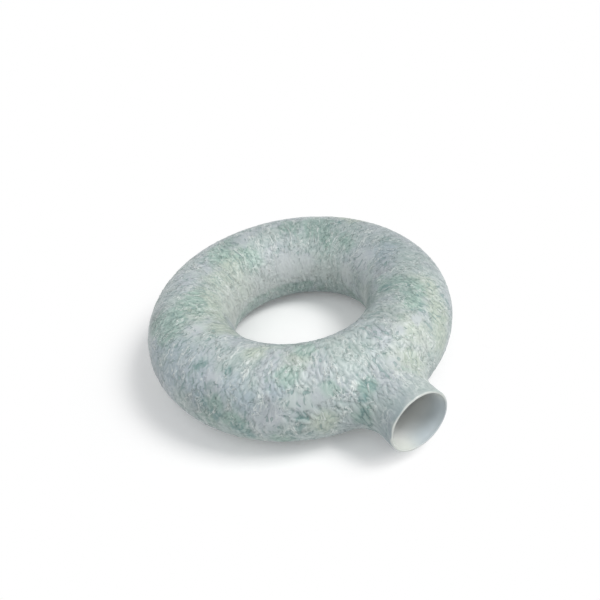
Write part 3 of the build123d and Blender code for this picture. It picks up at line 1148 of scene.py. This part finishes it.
def glaze_up_the_neck(tree, place, glaze):
    """The outer glaze turned blue-grey, darker on the left flank as painted shade. Also gives how near the
    lip it is, unevenly.
    """
    across = parts(tree, place)[0]
    uneven = plus(tree, value_of(tree, "near_lip"), times(tree, cloud(tree, place, 70.0, 3.0), 0.35))
    # Blue-grey on the left, with painted shade there.
    blue_grey_and_shade = blend(tree, ramp(tree, across, 0.012, -0.018), WARM_SIDE, COOL_SHADED_SIDE)
    return blend(tree, ramp(tree, uneven, 0.4, 1.0, 0.0, 0.75), glaze, blue_grey_and_shade), uneven


def lip_and_bore(tree, place, colour, uneven):
    """The colour with the pale lip added, and the colour of the bore, painted paler deep inside as painted
    light.
    """
    across, along, rise = parts(tree, place)
    patchy = times(tree, cloud(tree, place, 110.0, 2.0), 0.6)
    side = minus(tree, times(tree, across, RUN_ACROSS), times(tree, minus(tree, rise, TUBE_R), RUN_DOWN))
    from_lip = minus(tree, along, low.y)
    lip_colour = blend(tree, ramp(tree, side, 0.3 * BORE_R, BORE_R), PALE_LIP, COOL_LIP)
    colour = blend(tree, ramp(tree, plus(tree, uneven, patchy), 0.95, 1.3), colour, lip_colour)
    run = times(tree, ramp(tree, side, 0.2 * BORE_R, 0.9 * BORE_R), ramp(tree, from_lip, 0.022, 0.004))
    # Paler further in: painted light.
    bore_colour = blend(tree, ramp(tree, from_lip, 0.002, 0.016), NEAR_LIP, DEEP_INSIDE_LIGHTENED)
    return colour, blend(tree, run, bore_colour, BLUE_RUN)


print("pale lip:", tuple(round(c, 3) for c in PALE_LIP))

# %% [markdown]
# The ring's glaze stops at the foot, where the potter wipes it off so that it doesn't stick to the
# kiln shelf. The bare clay shows there, grainy and speckled, and toasted along the glaze.

# %% The bare foot
BARE_CLAY, DRY_CLAY = srgb(196, 183, 163), srgb(224, 215, 200)
SPECK, TOASTED = srgb(120, 92, 70), srgb(186, 150, 118)


def bare_foot(tree, place, colour, rough):
    """The colour and roughness with the foot wiped bare."""
    wiped = plus(tree, value_of(tree, "bare_foot"), times(tree, cloud(tree, place, 110.0, 3.0), 0.3))
    clay = blend(tree, noise(tree, place, 700.0, 4.0, 0.7), BARE_CLAY, DRY_CLAY)
    clay = blend(tree, ramp(tree, noise(tree, place, 900.0), 0.68, 0.74, 0.0, 0.6), clay, SPECK)
    clay = blend(tree, ramp(tree, wiped, 0.98, 0.82, 0.0, 0.7), clay, TOASTED)
    bare = ramp(tree, wiped, 0.8, 0.84)
    return blend(tree, bare, colour, clay), mixed_number(tree, bare, rough, 0.85)


print("clay:", tuple(round(c, 3) for c in BARE_CLAY))

# %% [markdown]
# Both finishes put the same groups together, and differ in what comes on top: the foot on the ring,
# and the lip and the bore on the neck. The inside of the ring has the plain glaze all over. The
# helpers below place each group in a material, with the colours of this vase.

# %% The groups placed in a material
ZONE_GLAZES = {"Lilac Glaze": srgb(186, 191, 199), "Celadon Glaze": srgb(180, 195, 191),
               "Green Glaze": srgb(157, 185, 174), "Sage Glaze": srgb(188, 199, 183),
               "Blue Glaze": srgb(170, 184, 193)}
POOL_GLAZES = {"Hollow Glaze": srgb(136, 158, 153), "Teal Glaze": srgb(112, 147, 145),
               "Ridge Glaze": srgb(222, 229, 226)}
INNER_ROUGHNESS = 0.2
GRAIN_DEEP, MARKS_DEEP = 0.00008, 0.00042
GRAIN_SHOWS, MARKS_SHOW = 0.6, 0.85


def zoned_glaze(tree, place):
    """The colour of the glaze by its patches, and how green it is."""
    patches = {zone: value_of(tree, zone.lower()) for zone in ("Calm", "Green", "Sage", "Blue")}
    return put(tree, "ShaderNodeGroup", {"Place": place, **patches, **ZONE_GLAZES}, node_tree=zones).outputs


def marks_of_bristles(tree, place, strength):
    """What the bristles left. It stops at the lip, which was wiped."""
    brushed = put(tree, "ShaderNodeAttribute", attribute_name="brushed").outputs["Vector"]
    below_lip = ramp(tree, value_of(tree, "near_lip"), 1.1, 1.0)
    sockets = {"Brushed": brushed, "Place": place, "Levelled": value_of(tree, "levelled"),
               "Amount": times(tree, below_lip, strength)}
    return put(tree, "ShaderNodeGroup", sockets, node_tree=bristles).outputs


def pooled_glaze(tree, place, glaze, greenness, strength, marked):
    """The glaze, pooled in the hollows and broken over the ridges, with painted shade in the hollows and
    painted highlights on the ridges.
    """
    marks = {mark: marked[mark] for mark in ("Marks", "Ribs", "Drops")}
    values = {name: value_of(tree, name.lower()) for name in ("Relief", "Dab", "Pools", "Thickness")}
    sockets = {"Place": place, "Glaze": glaze, "Greenness": greenness, "Strength": strength}
    return put(tree, "ShaderNodeGroup", {**sockets, **marks, **values, **POOL_GLAZES},
               node_tree=pooling).outputs


def fine_bumps(tree, grain_height, marks_height):
    """The relief that is too fine for the mesh: the grain of the glaze, and the bristles' marks."""
    sockets = {"Height": grain_height, "Distance": GRAIN_DEEP, "Strength": GRAIN_SHOWS}
    grain = put(tree, "ShaderNodeBump", sockets).outputs[0]
    sockets = {"Height": marks_height, "Distance": MARKS_DEEP, "Strength": MARKS_SHOW, "Normal": grain}
    return put(tree, "ShaderNodeBump", sockets).outputs[0]


print("bristle marks are at most", round(MARKS_DEEP * 1000, 2), "mm deep")

# %% [markdown]
# The material itself holds the shader. Its colour, roughness and normal come from the steps above,
# and the mesh's own values say where the outer glaze ends and the inner one starts.

# %% The finished materials
def glaze_finish(name, on_neck):
    """The material of the neck, or of the ring."""
    finish = bpy.data.materials.new(name)
    finish.use_nodes = True
    tree = finish.node_tree
    shader = tree.nodes["Principled BSDF"]
    place = put(tree, "ShaderNodeTexCoord").outputs["Object"]
    zoned = zoned_glaze(tree, place)
    strength = value_of(tree, "relief_share")
    marked = marks_of_bristles(tree, place, strength)
    glaze = zoned["Colour"]
    if on_neck:
        glaze, uneven = glaze_up_the_neck(tree, place, glaze)
    pooled = pooled_glaze(tree, place, glaze, zoned["Greenness"], strength, marked)
    colour, rough, bore_colour = pooled["Colour"], pooled["Roughness"], DEEP_INSIDE_LIGHTENED
    if on_neck:
        colour, bore_colour = lip_and_bore(tree, place, colour, uneven)
    else:
        colour, rough = bare_foot(tree, place, colour, rough)
    inner = value_of(tree, "inner_glaze")
    colour = blend(tree, inner, colour, bore_colour)
    rough = mixed_number(tree, inner, rough, INNER_ROUGHNESS)
    bump = fine_bumps(tree, pooled["Height"], marked["Height"])
    for socket, link in (("Base Color", colour), ("Roughness", rough), ("Normal", bump)):
        tree.links.new(link, shader.inputs[socket])
    return finish


ring_finish = glaze_finish("ring_glaze", on_neck=False)
neck_finish = glaze_finish("collar_glaze", on_neck=True)
print("finishes:", ring_finish.name, neck_finish.name)

# %% [markdown]
# The strokes are scattered over the three pieces at once, so that one stroke can run from a half
# ring over the joint onto the neck. The tree reads them as a collection of plain copies.

# %% The ground that strokes are scattered on
ground = bpy.data.collections.new("stroke_ground")
for piece in (half_ring_upper, half_ring_lower, neck_piece):
    ground.objects.link(bpy.data.objects.new(piece.name + "_ground", piece.data.copy()))

# %% [markdown]
# A modifier's inputs are set by the identifiers of its sockets. The evaluated object then becomes a
# plain mesh, and the modifier goes. Lengths are in metres. Those of a stroke go from its middle to
# its end and to its side, before chance makes it longer or shorter, and much of it lies under its
# neighbours. The relief is up to about 1 mm deep, and a little deeper on the front.

# %% Lay the strokes
STROKES = dict(Layers=12, Spacing=0.0060, Stroke_Length=0.0054, Stroke_Width=0.00145, Shake=0.0022,
               Swirl=3.1, Swirl_Scale=19.0, Eddy=1.5, Turn=0.4, Depth=0.00095, Seed=41)


def lay_strokes(piece, finish):
    """Runs the tree on a piece and keeps the result as its plain mesh."""
    modifier = piece.modifiers.new("brush strokes", "NODES")
    modifier.node_group = strokes_tree
    sockets = {item.name: item.identifier for item in strokes_tree.interface.items_tree
               if item.in_out == "INPUT"}
    for name, value in {**STROKES, "Ground": ground, "Finish": finish}.items():
        modifier[sockets[name.replace("_", " ")]] = value
    graph = bpy.context.evaluated_depsgraph_get()
    plain = bpy.data.meshes.new_from_object(
        piece.evaluated_get(graph), preserve_all_data_layers=True, depsgraph=graph)
    piece.modifiers.remove(modifier)
    old, piece.data = piece.data, plain
    bpy.data.meshes.remove(old)
    plain.name = piece.name
    heights = np.empty(len(plain.vertices), np.float32)
    plain.attributes["relief"].data.foreach_get("value", heights)
    shares = np.percentile(heights, (5, 25, 50, 75, 95)).round(2)
    print(piece.name, len(plain.polygons), "faces, height of the relief", shares)


for piece in (half_ring_upper, half_ring_lower):
    lay_strokes(piece, ring_finish)
lay_strokes(neck_piece, neck_finish)
for copy in list(ground.objects):
    bpy.data.meshes.remove(copy.data)
bpy.data.collections.remove(ground)

# %% [markdown]
# The floor is a plain pale sheet. For the camera it adds a little light of its own, and a few
# centimetres from the vase it turns white, so the picture runs out to white as on a photographer's
# paper sweep, while the floor near the vase keeps the soft shadow. How near it is counts from a
# circle round the ring, moved a little to the side of the shadow, and from one round the neck.

# %% The floor
FLOOR_LIFT, FLOOR_HALF = 0.130, 3
BOUNCE_GREY, SEEN_GREY = (0.85, 0.85, 0.85, 1), (0.93, 0.93, 0.93, 1)
RUN_OUT = 0.060
RING_SPOT, RING_SPOT_R = (-0.018, RING_CENTRE[1] + 0.016, 0), RING_OUT - 0.014
NECK_SPOT, NECK_SPOT_R, NECK_FASTER = (-0.008, low.y + 0.046, 0), 0.026, 2.4


def floor_finish():
    """Pale paper that runs out to white for the camera."""
    finish = bpy.data.materials.new("floor_paper")
    finish.use_nodes = True
    tree = finish.node_tree
    tree.nodes.clear()
    place = put(tree, "ShaderNodeTexCoord").outputs["Object"]

    def past(spot, radius):
        return minus(tree, aim(tree, "LENGTH", aim(tree, "SUBTRACT", place, spot)), radius)

    past_neck = times(tree, past(NECK_SPOT, NECK_SPOT_R), NECK_FASTER)
    far = ramp(tree, calc(tree, "MINIMUM", past(RING_SPOT, RING_SPOT_R), past_neck), 0.0, RUN_OUT)
    seen = seen_rays(tree)
    shade = blend(tree, seen, BOUNCE_GREY, SEEN_GREY)
    paper = put(tree, "ShaderNodeBsdfDiffuse", {"Color": shade}).outputs[0]
    lifted = put(tree, "ShaderNodeEmission", {"Strength": times(tree, seen, FLOOR_LIFT)}).outputs[0]
    near_part = put(tree, "ShaderNodeAddShader", {0: paper, 1: lifted}).outputs[0]
    white = put(tree, "ShaderNodeEmission", {"Strength": 1.0}).outputs[0]
    whole = put(tree, "ShaderNodeMixShader", {0: times(tree, far, seen), 1: near_part, 2: white}).outputs[0]
    put(tree, "ShaderNodeOutputMaterial", {"Surface": whole})
    return finish


corners = [(x * FLOOR_HALF, y * FLOOR_HALF, 0) for x, y in ((-1, -1), (1, -1), (1, 1), (-1, 1))]
floor_mesh = bpy.data.meshes.new("floor")
floor_mesh.from_pydata(corners, [], [(0, 1, 2, 3)])
floor_mesh.materials.append(floor_finish())
floor = bpy.data.objects.new("floor", floor_mesh)
bpy.context.scene.collection.objects.link(floor)
print("floor laid")

# %% [markdown]
# Last, each dressed piece takes the place of its packed one.

# %% Hand over
bpy.context.scene.view_settings.view_transform = "Standard"
for piece, node, slot in ((half_ring_upper, "ring_upper_half", "mottled_glaze"),
                          (half_ring_lower, "ring_lower_half", "mottled_glaze"),
                          (neck_piece, "neck", "neck_glaze")):
    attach(piece, "root")
    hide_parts(node)
